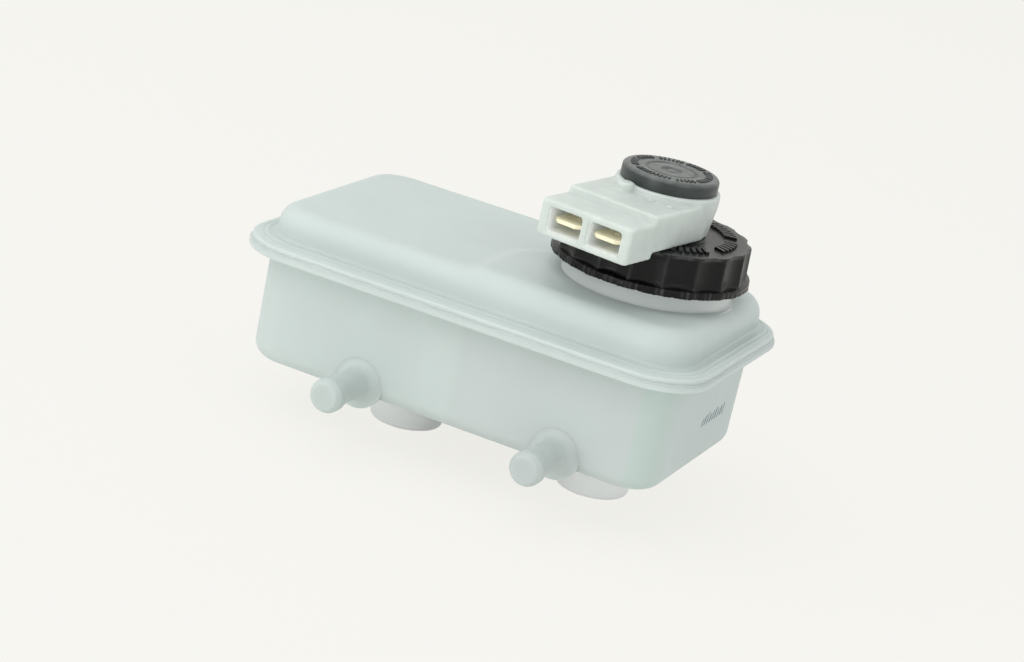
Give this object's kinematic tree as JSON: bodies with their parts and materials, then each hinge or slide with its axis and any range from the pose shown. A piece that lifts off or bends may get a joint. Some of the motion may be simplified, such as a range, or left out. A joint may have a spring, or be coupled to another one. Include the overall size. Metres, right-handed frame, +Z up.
{
  "type": "brake fluid reservoir",
  "caption": "Welded translucent brake fluid tank on push-in spigots, with side hose nipples and a fluted screw cap that clamps a float level switch, blade connector and rubber test button.",
  "frame": {"origin": "centre of the end face of the outlet spigot under the cap, where the part stands", "axes": "+X along the tank towards the cap end, -Y towards the hose nipples and the connector, +Z up out of the filler neck"},
  "size_m": [0.1009, 0.0701, 0.0672],
  "materials": {
    "tank_plastic": "translucent, slightly milky",
    "strainer_plastic": "fine satin",
    "cap_plastic": "black, satin",
    "housing_plastic": "natural, satin",
    "seal_rubber": "matt black",
    "cover_rubber": "matt grey",
    "blade_brass": "bright, slightly dull",
    "contact_metal": "bright",
    "rod_steel": "drawn",
    "float_foam": "closed foam skin"
  },
  "bodies": {
    "tank": {"lower_tank": "tank_plastic", "upper_tank": "tank_plastic", "filler_strainer": "strainer_plastic"},
    "switch_unit": {"switch_housing": "housing_plastic", "switch_base": "housing_plastic", "cap_seal": "seal_rubber", "terminal_left": "blade_brass", "terminal_right": "blade_brass", "rivet_left": "contact_metal", "rivet_right": "contact_metal", "drum_lid": "housing_plastic", "rubber_cover": "cover_rubber"},
    "cap": {"screw_cap": "cap_plastic"},
    "float_unit": {"float_rod": "rod_steel", "float": "float_foam", "float_clip_upper": "rod_steel", "float_clip_lower": "rod_steel", "contact_bridge": "contact_metal", "bridge_clip": "rod_steel"},
    "test_button": {"test_plunger": "housing_plastic"}
  },
  "joints": [
    {"name": "cap_lift", "type": "slide", "parent": "tank", "child": "switch_unit", "axis": [0, 0, 1], "range_m": [0, 0.0045]},
    {"name": "cap_turn", "type": "hinge", "parent": "switch_unit", "child": "cap", "pos_m": [0, 0.0043, 0.0511], "axis": [0, 0, 1], "range_deg": [0, 540]},
    {"name": "float_rise", "type": "slide", "parent": "switch_unit", "child": "float_unit", "axis": [0, 0, 1], "range_m": [0, 0.0027]},
    {"name": "test_press", "type": "slide", "parent": "switch_unit", "child": "test_button", "axis": [0, 0, -1], "range_m": [0, 0.00095], "stiffness_N_per_m": 300, "deforming": ["rubber_cover"]}
  ],
  "couplings": [
    {"joint": "cap_turn", "follows": "cap_lift", "rad_per_m": 2094.4}
  ]
}
